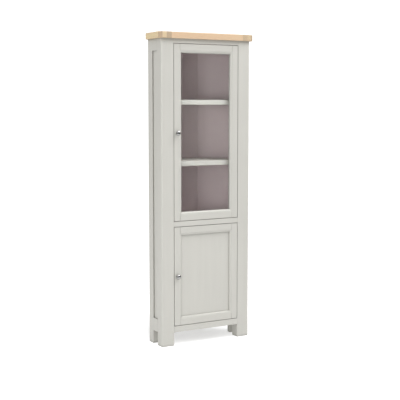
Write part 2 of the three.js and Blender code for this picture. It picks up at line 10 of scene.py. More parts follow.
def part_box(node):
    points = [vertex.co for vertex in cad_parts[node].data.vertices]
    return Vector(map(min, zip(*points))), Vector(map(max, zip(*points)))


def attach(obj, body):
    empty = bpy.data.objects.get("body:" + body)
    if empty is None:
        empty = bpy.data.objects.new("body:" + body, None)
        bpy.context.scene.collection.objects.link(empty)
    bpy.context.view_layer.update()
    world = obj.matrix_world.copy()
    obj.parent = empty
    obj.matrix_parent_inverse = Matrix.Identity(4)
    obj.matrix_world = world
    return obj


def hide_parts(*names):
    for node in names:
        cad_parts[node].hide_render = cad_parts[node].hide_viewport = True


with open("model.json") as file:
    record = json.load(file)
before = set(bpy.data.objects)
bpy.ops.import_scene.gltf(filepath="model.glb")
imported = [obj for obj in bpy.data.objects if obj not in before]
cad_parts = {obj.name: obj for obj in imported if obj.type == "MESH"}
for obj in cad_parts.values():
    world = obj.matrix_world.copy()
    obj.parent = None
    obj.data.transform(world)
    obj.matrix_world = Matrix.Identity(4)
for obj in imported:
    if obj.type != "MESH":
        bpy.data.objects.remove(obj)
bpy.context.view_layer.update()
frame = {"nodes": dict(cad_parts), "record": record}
nodes = frame["nodes"]
bodyOfNode = {
    node: body
    for body, members in frame["record"]["behaviour"]["bodies"].items()
    for node in members
}
slotOfNode = {part["node"]: part["material_slot"] for part in frame["record"]["subparts"]}
scene = bpy.context.scene
print("frame loaded with", len(nodes), "nodes")


# The photograph's view, from the left and a little above the middle of the cupboard
photoView = {
    "place": (-2.6364, -4.7823, 1.3859),
    "tiltDown": 0.1021,
    "turnRight": 0.5111,
    "lens": 82.6,
    "sensorWidth": 36.0,
}


def addCamera():
    data = bpy.data.cameras.new("photoCamera")
    data.lens = photoView["lens"]
    data.sensor_width = photoView["sensorWidth"]
    camera = bpy.data.objects.new("photoCamera", data)
    camera.location = photoView["place"]
    level = math.pi / 2
    camera.rotation_euler = (level - photoView["tiltDown"], 0.0, -photoView["turnRight"])
    scene.collection.objects.link(camera)
    scene.camera = camera


addCamera()
print("camera placed")


# Small helpers that put nodes into a material, a world or a node group
def addNode(tree, kind, sources=None, **settings):
    node = tree.nodes.new(kind)
    for name, value in settings.items():
        setattr(node, name, value)
    for key, value in (sources or {}).items():
        if isinstance(value, bpy.types.NodeSocket):
            tree.links.new(value, node.inputs[key])
        else:
            node.inputs[key].default_value = value
    return node


def maths(tree, operation, first, second=0.0, clamp=False):
    node = addNode(tree, "ShaderNodeMath", {0: first, 1: second}, operation=operation)
    node.use_clamp = clamp
    return node.outputs[0]


def plus(tree, first, second, clamp=False):
    return maths(tree, "ADD", first, second, clamp)


def minus(tree, first, second):
    return maths(tree, "SUBTRACT", first, second)


def times(tree, first, second):
    return maths(tree, "MULTIPLY", first, second)


def shared(tree, first, second, firstShare):
    return plus(tree, times(tree, first, firstShare), times(tree, second, 1 - firstShare))


def spread(tree, value, fromMin, fromMax, toMin=0.0, toMax=1.0, soft=False):
    limits = {
        "Value": value,
        "From Min": fromMin,
        "From Max": fromMax,
        "To Min": toMin,
        "To Max": toMax,
    }
    shape = "SMOOTHSTEP" if soft else "LINEAR"
    return addNode(tree, "ShaderNodeMapRange", limits, interpolation_type=shape).outputs[0]


# Where a Mix node keeps its sockets for colours
mixSockets = {"factor": 0, "first": 6, "second": 7, "result": 2}


def blendColours(tree, factor, first, second):
    sources = {mixSockets["factor"]: factor}
    for name, colour in (("first", first), ("second", second)):
        plain = isinstance(colour, tuple)
        sources[mixSockets[name]] = (*colour, 1.0) if plain else colour
    mix = addNode(tree, "ShaderNodeMix", sources, data_type="RGBA")
    return mix.outputs[mixSockets["result"]]


def noise(tree, vector, scale, detail, roughness):
    inputs = {"Vector": vector, "Scale": scale, "Detail": detail, "Roughness": roughness}
    return addNode(tree, "ShaderNodeTexNoise", inputs).outputs[0]


# Noise drawn out along the grain, which runs in X
def grainNoise(tree, vector, along, across, detail, roughness):
    scale = {"Vector": vector, "Scale": (along, across, across)}
    stretched = addNode(tree, "ShaderNodeMapping", scale).outputs[0]
    return noise(tree, stretched, 1.0, detail, roughness)


def dotOf(tree, first, second):
    pair = {0: first, 1: second}
    return addNode(tree, "ShaderNodeVectorMath", pair, operation="DOT_PRODUCT").outputs["Value"]


# An input without a number of its own is a vector
def newGroup(name, inputs, outputs):
    group = bpy.data.node_groups.new(name, "ShaderNodeTree")
    for label, value in inputs.items():
        kind = "NodeSocketVector" if value is None else "NodeSocketFloat"
        socket = group.interface.new_socket(name=label, in_out="INPUT", socket_type=kind)
        if value is not None:
            socket.default_value = value
    for label in outputs:
        group.interface.new_socket(name=label, in_out="OUTPUT", socket_type="NodeSocketFloat")
    source = group.nodes.new("NodeGroupInput")
    result = group.nodes.new("NodeGroupOutput")
    return group, source.outputs, result.inputs


def placed(tree, group, sources):
    return addNode(tree, "ShaderNodeGroup", sources, node_tree=group).outputs


# In the settings of a finish, plain noise is scale, detail and roughness, noise along the
# grain is along, across, detail and roughness, and a spread is from, to and any new limits

# Where the arrises are, broken up by noise so that they look handled and not outlined
arrises = {
    "width": 0.002,
    "patchiness": 0.5,
    "samples": 4,
    "bendSpread": (0.01, 0.16),
    "patches": (38.0, 4.0, 0.65),
    "patchFloor": 0.62,
    "patchTop": 0.72,
}


def makeArrisWear():
    inputs = {"Vector": None, "Width": arrises["width"], "Patchiness": arrises["patchiness"]}
    group, given, result = newGroup("arrisWear", inputs, ["Mask"])
    radius = {"Radius": given["Width"]}
    rounded = addNode(group, "ShaderNodeBevel", radius, samples=arrises["samples"])
    surface = addNode(group, "ShaderNodeNewGeometry")
    facing = dotOf(group, rounded.outputs["Normal"], surface.outputs["Normal"])
    bend = minus(group, 1.0, facing)
    edge = spread(group, bend, *arrises["bendSpread"], soft=True)
    patches = noise(group, given["Vector"], *arrises["patches"])
    patchFloor = times(group, given["Patchiness"], arrises["patchFloor"])
    kept = spread(group, patches, patchFloor, arrises["patchTop"], soft=True)
    group.links.new(times(group, edge, kept), result["Mask"])
    return group


# Painted shade where surfaces meet in a corner, darker the more closed in the corner is, together
# with dust and rubbed-in grime that gather there
shadeAndDustSettings = {
    "reach": 0.02,
    "samples": 8,
    "closedSpread": (0.08, 0.62),
    "patches": (24.0, 3.0, 0.6),
    "patchSpread": (0.3, 0.7, 0.75, 1.0),
}


def makeCornerShadeAndDust():
    inputs = {"Vector": None, "Reach": shadeAndDustSettings["reach"]}
    group, given, result = newGroup("cornerShadeAndDust", inputs, ["Mask"])
    distance = {"Distance": given["Reach"]}
    samples = shadeAndDustSettings["samples"]
    openness = addNode(group, "ShaderNodeAmbientOcclusion", distance, samples=samples)
    closed = minus(group, 1.0, openness.outputs["AO"])
    shadeAndDustAmount = spread(group, closed, *shadeAndDustSettings["closedSpread"])
    patchNoise = noise(group, given["Vector"], *shadeAndDustSettings["patches"])
    patches = spread(group, patchNoise, *shadeAndDustSettings["patchSpread"])
    group.links.new(times(group, shadeAndDustAmount, patches), result["Mask"])
    return group


# Sprayed and rubbed paint over timber. X runs along the grain, which just shows through
sprayedFilm = {
    "clouds": (2.6, 3.0, 0.55),
    "streaks": (2.0, 46.0, 3.0, 0.6),
    "cloudShare": 0.6,
    "toneSpread": (0.36, 0.64),
    "smears": (17.0, 5.0, 0.62),
    "rubSpread": (0.3, 0.7),
    "grain": (9.0, 420.0, 2.0, 0.6),
    "grainShare": 0.6,
    "peelSize": 620.0,
    "peelDetail": 1.0,
    "peelRoughness": 0.5,
}


def makePaintFilm():
    inputs = {"Vector": None, "Peel Size": sprayedFilm["peelSize"]}
    group, given, result = newGroup("paintFilm", inputs, ["Tone", "Rub", "Height"])
    vector = given["Vector"]
    clouds = noise(group, vector, *sprayedFilm["clouds"])
    streaks = grainNoise(group, vector, *sprayedFilm["streaks"])
    tone = shared(group, clouds, streaks, sprayedFilm["cloudShare"])
    group.links.new(spread(group, tone, *sprayedFilm["toneSpread"]), result["Tone"])
    smears = noise(group, vector, *sprayedFilm["smears"])
    group.links.new(spread(group, smears, *sprayedFilm["rubSpread"]), result["Rub"])
    grain = grainNoise(group, vector, *sprayedFilm["grain"])
    fineness = (sprayedFilm["peelDetail"], sprayedFilm["peelRoughness"])
    peel = noise(group, vector, given["Peel Size"], *fineness)
    body = shared(group, grain, peel, sprayedFilm["grainShare"])
    group.links.new(body, result["Height"])
    return group


# Oak as a solid block of yearly rings. X runs along the grain, and boards lie side by side in Y
oakRings = {
    "boardWidth": 0.09,
    "spacing": 0.0032,
    "pithDepth": 0.11,
    "pithAside": 1.6,
    "pithDrop": 0.45,
    "boardShift": 7.0,
    "drift": (1.1, 6.0, 2.0, 0.5),
    "driftReach": 0.085,
    "waver": (7.0, 60.0, 3.0, 0.6),
    "waverReach": 0.0032,
    "lateWood": 2.2,
    "bands": (1.6, 34.0, 3.0, 0.55),
    "bandSpread": (0.32, 0.68),
    "dashes": (46.0, 1500.0, 2.0, 0.6),
    "earlySpread": (0.0, 0.6, 0.0, 0.13),
    "poreSpread": (0.47, 0.6),
    "jointSpread": (0.002, 0.006, 1.0, 0.0),
}


def makeOakFigure():
    inputs = {
        "Vector": None,
        "Board Width": oakRings["boardWidth"],
        "Ring Spacing": oakRings["spacing"],
        "Pith Depth": oakRings["pithDepth"],
    }
    outputs = ["Rings", "Bands", "Pores", "Board", "Seam"]
    group, given, result = newGroup("oakFigure", inputs, outputs)
    parts = addNode(group, "ShaderNodeSeparateXYZ", {0: given["Vector"]})
    across, up = parts.outputs["Y"], parts.outputs["Z"]
    boards = maths(group, "DIVIDE", across, given["Board Width"])
    index = maths(group, "FLOOR", boards)
    chance = addNode(group, "ShaderNodeTexWhiteNoise", {"W": index}, noise_dimensions="1D")
    chances = addNode(group, "ShaderNodeSeparateColor", {0: chance.outputs["Color"]}).outputs
    further = {0: chance.outputs["Color"], "Scale": oakRings["boardShift"]}
    shift = addNode(group, "ShaderNodeVectorMath", further, operation="SCALE")
    pair = {0: given["Vector"], 1: shift.outputs[0]}
    moved = addNode(group, "ShaderNodeVectorMath", pair, operation="ADD").outputs[0]

    # The heart of the tree lies under each board, off to one side
    side = times(group, minus(group, chances["Red"], 0.5), oakRings["pithAside"])
    middle = plus(group, index, 0.5)
    heart = times(group, plus(group, middle, side), given["Board Width"])
    sideways = minus(group, across, heart)
    drop = plus(group, chances["Green"], oakRings["pithDrop"])
    depth = times(group, given["Pith Depth"], drop)
    drift = grainNoise(group, moved, *oakRings["drift"])
    lean = times(group, minus(group, drift, 0.5), oakRings["driftReach"])
    deep = plus(group, plus(group, up, depth), lean)
    squares = plus(group, times(group, sideways, sideways), times(group, deep, deep))
    radius = maths(group, "SQRT", squares)
    waver = grainNoise(group, moved, *oakRings["waver"])
    wavering = times(group, waver, oakRings["waverReach"])
    count = maths(group, "DIVIDE", plus(group, radius, wavering), given["Ring Spacing"])
    year = maths(group, "FRACT", count)
    late = maths(group, "POWER", year, oakRings["lateWood"])
    group.links.new(late, result["Rings"])

    bands = grainNoise(group, moved, *oakRings["bands"])
    group.links.new(spread(group, bands, *oakRings["bandSpread"]), result["Bands"])
    dashes = grainNoise(group, moved, *oakRings["dashes"])
    early = spread(group, year, *oakRings["earlySpread"])
    pores = spread(group, minus(group, dashes, early), *oakRings["poreSpread"], soft=True)
    group.links.new(pores, result["Pores"])
    group.links.new(chances["Blue"], result["Board"])
    within = minus(group, boards, index)
    fromJoint = maths(group, "MINIMUM", within, minus(group, 1.0, within))
    joint = spread(group, fromJoint, *oakRings["jointSpread"])
    group.links.new(joint, result["Seam"])
    return group


# Fine handling scratches and smudges on metal, glass and plastic
handlingMarks = {
    "smudges": (70.0, 5.0, 0.65),
    "smudgeSpread": (0.35, 0.7),
    "scratchScale": 90.0,
    "scratchDetail": 2.0,
    "scratchRoughness": 0.5,
    "scratchStretch": (1.0, 26.0, 26.0),
    "scratchSpread": (0.66, 0.78),
    "turns": (0.5, 1.9, 2.7),
    "turnShares": (1.0, 0.7, 1.3),
}


def makeHandling():
    inputs = {"Vector": None, "Scratch Scale": handlingMarks["scratchScale"]}
    group, given, result = newGroup("handling", inputs, ["Smudge", "Scratch"])
    smudge = noise(group, given["Vector"], *handlingMarks["smudges"])
    smudged = spread(group, smudge, *handlingMarks["smudgeSpread"])
    group.links.new(smudged, result["Smudge"])
    fineness = (handlingMarks["scratchDetail"], handlingMarks["scratchRoughness"])
    lines = []
    for turn in handlingMarks["turns"]:
        sources = {
            "Vector": given["Vector"],
            "Rotation": tuple(turn * share for share in handlingMarks["turnShares"]),
            "Scale": handlingMarks["scratchStretch"],
        }
        turnedVector = addNode(group, "ShaderNodeMapping", sources).outputs[0]
        lines.append(noise(group, turnedVector, given["Scratch Scale"], *fineness))
    first, second, third = lines
    most = maths(group, "MAXIMUM", maths(group, "MAXIMUM", first, second), third)
    group.links.new(spread(group, most, *handlingMarks["scratchSpread"]), result["Scratch"])
    return group


arrisWear = makeArrisWear()
cornerShadeAndDust = makeCornerShadeAndDust()
paintFilm = makePaintFilm()
oakFigure = makeOakFigure()
handling = makeHandling()
print("finish groups made")


def newMaterial(name, **plain):
    material = bpy.data.materials.new(name)
    material.use_nodes = True
    shader = material.node_tree.nodes["Principled BSDF"]
    for label, value in plain.items():
        shader.inputs[label.replace("_", " ")].default_value = value
    return material, material.node_tree, shader.inputs


def objectSpot(tree):
    return addNode(tree, "ShaderNodeTexCoord").outputs["Object"]


# The colour, gloss and relief of a finish, into the shader's own sockets
def finishSurface(tree, shader, look, colour, dullness, height):
    tree.links.new(colour, shader["Base Color"])
    gloss = spread(tree, dullness, *look["dullSpread"], look["smooth"], look["rough"])
    tree.links.new(gloss, shader["Roughness"])
    bump = {"Strength": look["reliefStrength"], "Distance": look["relief"], "Height": height}
    tree.links.new(addNode(tree, "ShaderNodeBump", bump).outputs[0], shader["Normal"])


# Darkens the colour with painted shade and dust where surfaces meet in a corner
def paintShadeAndDust(tree, vector, look, colour):
    sources = {"Vector": vector, "Reach": look["shadeAndDustReach"]}
    corners = placed(tree, cornerShadeAndDust, sources)["Mask"]
    shadeAndDustShare = times(tree, corners, look["shadeAndDustStrength"])
    return blendColours(tree, shadeAndDustShare, colour, look["shadeAndDustColour"])


# Turns that lay the pattern's X axis along the grain of a piece
grainTurns = {
    "up": (0.0, math.pi / 2, 0.0),
    "across": (0.0, 0.0, 0.0),
    "back": (0.0, 0.0, -math.pi / 2),
}


def grainVector(tree, grain):
    turn = {"Vector": objectSpot(tree), "Rotation": grainTurns[grain]}
    return addNode(tree, "ShaderNodeMapping", turn).outputs[0]


greyPaint = {
    "light": (0.622, 0.612, 0.567),
    "dark": (0.593, 0.584, 0.541),
    "worn": (0.735, 0.722, 0.680),
    # Painted shade with dust in corners: its colour, how strongly it darkens and how far it reaches
    "shadeAndDustColour": (0.250, 0.245, 0.225),
    "shadeAndDustStrength": 0.55,
    "shadeAndDustReach": 0.022,
    "wearStrength": 0.35,
    "wearWidth": 0.0022,
    "patchiness": 0.7,
    "dullSpread": (0.0, 1.0),
    "smooth": 0.40,
    "rough": 0.56,
    "relief": 0.00012,
    "reliefStrength": 0.35,
}
taupePaint = {
    "light": (0.690, 0.596, 0.602),
    "dark": (0.655, 0.562, 0.568),
    "worn": (0.700, 0.615, 0.620),
    # Painted shade with dust in corners: its colour, how strongly it darkens and how far it reaches
    "shadeAndDustColour": (0.330, 0.280, 0.285),
    "shadeAndDustStrength": 0.20,
    "shadeAndDustReach": 0.015,
    "wearStrength": 0.25,
    "wearWidth": 0.0016,
    "patchiness": 0.8,
    "dullSpread": (0.0, 1.0),
    "smooth": 0.52,
    "rough": 0.66,
    "relief": 0.0001,
    "reliefStrength": 0.3,
}
# The shelves stand clear of the corners, so their painted corner shade and dust reach less far and
# stay off their front edges
shelfPaint = {**greyPaint, "shadeAndDustReach": 0.006}


def makePaint(name, look, grain):
    material, tree, shader = newMaterial(name)
    vector = grainVector(tree, grain)
    film = placed(tree, paintFilm, {"Vector": vector})
    arris = {"Vector": vector, "Width": look["wearWidth"], "Patchiness": look["patchiness"]}
    wear = placed(tree, arrisWear, arris)["Mask"]
    colour = blendColours(tree, film["Tone"], look["dark"], look["light"])
    worn = times(tree, wear, look["wearStrength"])
    colour = blendColours(tree, worn, colour, look["worn"])
    # Painted shade and dust darken the paint in corners
    colour = paintShadeAndDust(tree, vector, look, colour)
    finishSurface(tree, shader, look, colour, film["Rub"], film["Height"])
    return material


paints = {
    (finish, grain): makePaint(f"{finish}Paint{grain.capitalize()}", look, grain)
    for finish, look, grains in (
        ("grey", greyPaint, ("up", "across", "back")),
        ("taupe", taupePaint, ("up", "across", "back")),
        ("shelf", shelfPaint, ("across",)),
    )
    for grain in grains
}


oakTop = {
    "light": {"across": (0.915, 0.762, 0.525), "back": (0.856, 0.736, 0.461)},
    "middle": {"across": (0.865, 0.650, 0.472), "back": (0.809, 0.628, 0.414)},
    "dark": (0.640, 0.430, 0.260),
    "endGrain": (0.510, 0.380, 0.262),
    "pore": (0.360, 0.215, 0.110),
    # Painted shade with dust in corners: its colour, how strongly it darkens and how far it reaches
    "shadeAndDustColour": (0.220, 0.150, 0.090),
    "shadeAndDustStrength": 0.7,
    "shadeAndDustReach": 0.022,
    "boardWidth": 0.088,
    "endBoardWidth": 0.3,
    "ringSpacing": 0.0031,
    "boardShare": 0.35,
    "ringShare": 0.38,
    "poreShare": 0.40,
    "seamShare": 0.5,
    "squareSpread": (0.80, 0.95),
    "slantSpread": (0.25, 0.6),
    "slantShare": 0.85,
    "staveJoint": 0.2655,
    "staveJointWidth": 0.0008,
    "innerShares": (0.92, 0.68),
    "outerShares": (0.26, 0.44),
    "ringDullness": 0.4,
    "dullSpread": (0.0, 1.2),
    "smooth": 0.34,
    "rough": 0.52,
    "ringHeight": 0.35,
    "seamDepth": 1.5,
    "relief": 0.00022,
    "reliefStrength": 0.5,
}
grainLines = {"across": (1.0, 0.0, 0.0), "back": (0.0, 1.0, 0.0)}


# How much end grain shows: most on faces cut square to the grain, some on slanting ones
def endGrainShare(tree, grain):
    facing = addNode(tree, "ShaderNodeTexCoord").outputs["Normal"]
    cut = maths(tree, "ABSOLUTE", dotOf(tree, facing, grainLines[grain]))
    square = spread(tree, cut, *oakTop["squareSpread"], soft=True)
    slant = spread(tree, cut, *oakTop["slantSpread"])
    slanting = times(tree, slant, minus(tree, 1.0, square))

    # Two staves make up each end board. The outer one is the paler, most of all on the left
    sideways = addNode(tree, "ShaderNodeSeparateXYZ", {0: objectSpot(tree)}).outputs["X"]
    joint = oakTop["staveJoint"]
    inner = spread(tree, sideways, -joint, joint, *oakTop["innerShares"])
    outer = spread(tree, sideways, -joint, joint, *oakTop["outerShares"])
    half = oakTop["staveJointWidth"] / 2
    fromMiddle = maths(tree, "ABSOLUTE", sideways)
    stave = spread(tree, fromMiddle, joint - half, joint + half, inner, outer)
    slantPart = times(tree, slanting, oakTop["slantShare"])
    return plus(tree, times(tree, square, stave), slantPart, clamp=True)


def makeOak(name, grain, boardWidth):
    material, tree, shader = newMaterial(name)
    vector = grainVector(tree, grain)
    sources = {
        "Vector": vector,
        "Board Width": boardWidth,
        "Ring Spacing": oakTop["ringSpacing"],
    }
    figure = placed(tree, oakFigure, sources)
    middle = oakTop["middle"][grain]
    colour = blendColours(tree, figure["Bands"], middle, oakTop["light"][grain])
    for share, tint in (
        (times(tree, figure["Board"], oakTop["boardShare"]), middle),
        (times(tree, figure["Rings"], oakTop["ringShare"]), oakTop["dark"]),
        (endGrainShare(tree, grain), oakTop["endGrain"]),
        (times(tree, figure["Pores"], oakTop["poreShare"]), oakTop["pore"]),
        (times(tree, figure["Seam"], oakTop["seamShare"]), oakTop["dark"]),
    ):
        colour = blendColours(tree, share, colour, tint)
    # Painted shade and dust darken the oak in corners
    colour = paintShadeAndDust(tree, vector, oakTop, colour)
    ringDullness = times(tree, figure["Rings"], oakTop["ringDullness"])
    dullness = plus(tree, ringDullness, figure["Pores"])
    seams = times(tree, figure["Seam"], oakTop["seamDepth"])
    hollows = plus(tree, figure["Pores"], seams)
    height = minus(tree, times(tree, figure["Rings"], oakTop["ringHeight"]), hollows)
    finishSurface(tree, shader, oakTop, colour, dullness, height)
    return material


oakPanel = makeOak("oakPanel", "across", oakTop["boardWidth"])
oakEnds = makeOak("oakEnds", "back", oakTop["endBoardWidth"])


polishedChrome = {
    "clean": (0.52, 0.52, 0.515),
    "dull": (0.40, 0.40, 0.395),
    "scratchScale": 160.0,
    "smudgeShare": 0.6,
    "dullSpread": (0.0, 1.0),
    "smooth": 0.04,
    "rough": 0.14,
    "relief": 0.00002,
    "reliefStrength": 0.3,
}
nickelPlate = {
    **polishedChrome,
    "clean": (0.66, 0.65, 0.62),
    "dull": (0.50, 0.49, 0.46),
    "smooth": 0.24,
    "rough": 0.42,
    "relief": 0.00004,
}


def makeMetal(name, look):
    material, tree, shader = newMaterial(name, Metallic=1.0)
    marks = {"Vector": objectSpot(tree), "Scratch Scale": look["scratchScale"]}
    touched = placed(tree, handling, marks)
    colour = blendColours(tree, touched["Smudge"], look["clean"], look["dull"])
    smudges = times(tree, touched["Smudge"], look["smudgeShare"])
    grime = plus(tree, smudges, touched["Scratch"], clamp=True)
    finishSurface(tree, shader, look, colour, grime, touched["Scratch"])
    return material


chrome = makeMetal("polishedChrome", polishedChrome)
nickel = makeMetal("nickelPlate", nickelPlate)


catchPlastic = {
    "clean": (0.80, 0.80, 0.77),
    "yellowed": (0.72, 0.71, 0.66),
    "moulding": (1100.0, 2.0, 0.5),
    "dullSpread": (0.0, 1.0),
    "smooth": 0.38,
    "rough": 0.52,
    "relief": 0.00006,
    "reliefStrength": 0.3,
}


def makePlastic():
    look = catchPlastic
    material, tree, shader = newMaterial("catchPlastic")
    spot = objectSpot(tree)
    smudge = placed(tree, handling, {"Vector": spot})["Smudge"]
    colour = blendColours(tree, smudge, look["clean"], look["yellowed"])
    moulding = noise(tree, spot, *look["moulding"])
    finishSurface(tree, shader, look, colour, smudge, moulding)
    return material


plastic = makePlastic()


paneGlass = {
    "refraction": 1.46,
    "clear": (0.985, 0.995, 0.990),
    "smeared": (0.955, 0.965, 0.960),
    "scratchScale": 25.0,
    "waves": (3.0, 1.0, 0.5),
    "dullSpread": (0.4, 1.0),
    "smooth": 0.0,
    "rough": 0.035,
    "relief": 0.0004,
    "reliefStrength": 0.15,
}


# Light goes straight through the pane to the shelves, and the eye sees its gloss
def makeGlass():
    look = paneGlass
    material, tree, shader = newMaterial(
        "paneGlass",
        Transmission_Weight=1.0,
        IOR=look["refraction"],
    )
    spot = objectSpot(tree)
    marks = {"Vector": spot, "Scratch Scale": look["scratchScale"]}
    smudge = placed(tree, handling, marks)["Smudge"]
    colour = blendColours(tree, smudge, look["clear"], look["smeared"])
    finishSurface(tree, shader, look, colour, smudge, noise(tree, spot, *look["waves"]))
    shadowRay = addNode(tree, "ShaderNodeLightPath").outputs["Is Shadow Ray"]
    solid = tree.nodes["Principled BSDF"].outputs[0]
    clear = addNode(tree, "ShaderNodeBsdfTransparent").outputs[0]
    mix = addNode(tree, "ShaderNodeMixShader", {0: shadowRay, 1: solid, 2: clear})
    tree.links.new(mix.outputs[0], tree.nodes["Material Output"].inputs["Surface"])
    return material


glass = makeGlass()
print("materials made:", len(bpy.data.materials))


def meshFrom(name, bm):
    mesh = bpy.data.meshes.new(name)
    bm.to_mesh(mesh)
    bm.free()
    return mesh


def showMesh(name, bm, body, materials):
    mesh = meshFrom(name, bm)
    for material in materials:
        mesh.materials.append(material)
    piece = bpy.data.objects.new(name, mesh)
    scene.collection.objects.link(piece)
    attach(piece, body)
    return piece


def smoothFaces(piece, sharpAbove):
    mesh = piece.data
    mesh.polygons.foreach_set("use_smooth", [True] * len(mesh.polygons))
    mesh.set_sharp_from_angle(angle=sharpAbove)
    weighted = piece.modifiers.new("flatFacesStayFlat", "WEIGHTED_NORMAL")
    weighted.keep_sharp = True


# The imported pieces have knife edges. Each is copied, and its free arrises are eased as a maker does
easing = {
    "mergeDistance": 0.000001,
    "flatAngle": math.radians(0.6),
    "leastBend": math.radians(50),
    "shortest": 0.002,
    "touching": 0.0007,
    "probes": (0.2, 0.5, 0.8),
    "probesTouching": 2,
    "steps": 2,
    "sharpAbove": math.radians(38),
}


def mergedCopy(nodeName):
    bm = bmesh.new()
    bm.from_mesh(nodes[nodeName].data)
    for layers in (bm.loops.layers, bm.verts.layers):
        for layer in list(layers.float_vector.values()):
            layers.float_vector.remove(layer)
    bmesh.ops.remove_doubles(bm, verts=bm.verts, dist=easing["mergeDistance"])
    bmesh.ops.dissolve_limit(
        bm,
        angle_limit=easing["flatAngle"],
        verts=bm.verts,
        edges=bm.edges,
    )
    return bm


def surfaceTrees():
    trees = {}
    for name, node in nodes.items():
        low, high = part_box(name)
        corners = [vertex.co for vertex in node.data.vertices]
        faces = [tuple(polygon.vertices) for polygon in node.data.polygons]
        trees[name] = (low, high, BVHTree.FromPolygons(corners, faces))
    return trees


trees = surfaceTrees()


def touchesAnother(nodeName, point):
    reach = easing["touching"]
    for name, (low, high, tree) in trees.items():
        if name == nodeName:
            continue
        if any(point[k] < low[k] - reach or point[k] > high[k] + reach for k in range(3)):
            continue
        if tree.find_nearest(point, reach)[0] is not None:
            return True
    return False


def freeArrises(bm, nodeName):
    chosen = []
    for edge in bm.edges:
        if len(edge.link_faces) != 2 or not edge.is_convex:
            continue
        if edge.calc_face_angle() < easing["leastBend"]:
            continue
        if edge.calc_length() < easing["shortest"]:
            continue
        start, end = (vertex.co for vertex in edge.verts)
        probes = [start.lerp(end, share) for share in easing["probes"]]
        touching = sum(touchesAnother(nodeName, probe) for probe in probes)
        if touching < easing["probesTouching"]:
            chosen.append(edge)
    return chosen


def ease(bm, edges, width):
    bmesh.ops.bevel(
        bm,
        geom=edges,
        offset=width,
        offset_type="OFFSET",
        segments=easing["steps"],
        profile=0.5,
        affect="EDGES",
        clamp_overlap=False,
        material=-1,
    )


# The taupe inside starts behind the doors, above the base board's middle
insidePaint = {
    "front": -0.1333,
    "bottom": 0.0985,
    "top": 1.7635,
    "sideReach": 0.2765,
    "middleDepth": 0.02,
    "turnedOut": 0.35,
}


def cutAtPaintLines(bm):
    for spot, direction in (
        ((0.0, insidePaint["front"], 0.0), (0.0, 1.0, 0.0)),
        ((0.0, 0.0, insidePaint["bottom"]), (0.0, 0.0, 1.0)),
    ):
        bmesh.ops.bisect_plane(
            bm,
            geom=bm.verts[:] + bm.edges[:] + bm.faces[:],
            dist=easing["mergeDistance"],
            plane_co=spot,
            plane_no=direction,
        )


def isInside(face):
    centre = face.calc_center_median()
    outward = Vector((centre.x, centre.y - insidePaint["middleDepth"], 0.0)).normalized()
    within = (
        centre.y > insidePaint["front"]
        and insidePaint["bottom"] < centre.z < insidePaint["top"]
        and abs(centre.x) < insidePaint["sideReach"]
    )
    return within and face.normal.dot(outward) < insidePaint["turnedOut"]


# Glue and paint fill the mitres between the back panels, so no light comes through
filledMitres = {"back_panel_centre": 1.0024}


def easedPiece(nodeName, width, materials):
    bm = mergedCopy(nodeName)
    bmesh.ops.scale(bm, vec=(filledMitres.get(nodeName, 1.0), 1.0, 1.0), verts=bm.verts)
    ease(bm, freeArrises(bm, nodeName), width)
    bmesh.ops.dissolve_degenerate(bm, dist=easing["mergeDistance"], edges=bm.edges)
    if len(materials) > 1:
        cutAtPaintLines(bm)
        bm.normal_update()
        for face in bm.faces:
            face.material_index = int(isInside(face))
    piece = showMesh(
        f"{nodeName}_eased",
        bm,
        bodyOfNode[nodeName],
        materials,
    )
    smoothFaces(piece, easing["sharpAbove"])
    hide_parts(nodeName)


# Painted timber: the words its node names start with, its grain, eased width and paints
bothPaints = ("grey", "taupe")
paintedTimber = [
    (("front_post", "rear_post"), "up", 0.0010, bothPaints),
    (("back_leg",), "up", 0.0010, ("grey",)),
    (("side_panel",), "up", 0.0005, bothPaints),
    (("back_panel",), "up", 0.0005, bothPaints),
    (("side_top_rail", "side_bottom_rail"), "back", 0.0008, bothPaints),
    (("front_top_rail", "front_mid_rail", "front_bottom_rail"), "across", 0.0008, bothPaints),
    (("ceiling_board", "mid_board"), "across", 0.0006, ("taupe",)),
    (("base_board",), "across", 0.0006, bothPaints),
    (("shelf_1", "shelf_2"), "across", 0.0015, ("shelf",)),
    (("upper_door_rail", "lower_door_rail"), "across", 0.0008, ("grey",)),
    (("upper_door_stile", "lower_door_stile"), "up", 0.0008, ("grey",)),
    (("lower_door_panel",), "up", 0.0005, ("grey",)),
    (("upper_door_glass_retainer",), "up", 0.0008, ("grey",)),
]
# The oak top and the pane: node name, eased width and material
clearPieces = [
    ("oak_top_panel", 0.0004, oakPanel),
    ("oak_top_end_left", 0.0004, oakEnds),
    ("oak_top_end_right", 0.0004, oakEnds),
    ("upper_door_glass", 0.0005, glass),
]


def addTimber():
    for starts, grain, width, finishes in paintedTimber:
        for nodeName in sorted(nodes):
            if nodeName.startswith(starts) and "_pin_" not in nodeName:
                easedPiece(nodeName, width, [paints[finish, grain] for finish in finishes])


addTimber()
for nodeName, width, material in clearPieces:
    easedPiece(nodeName, width, [material])


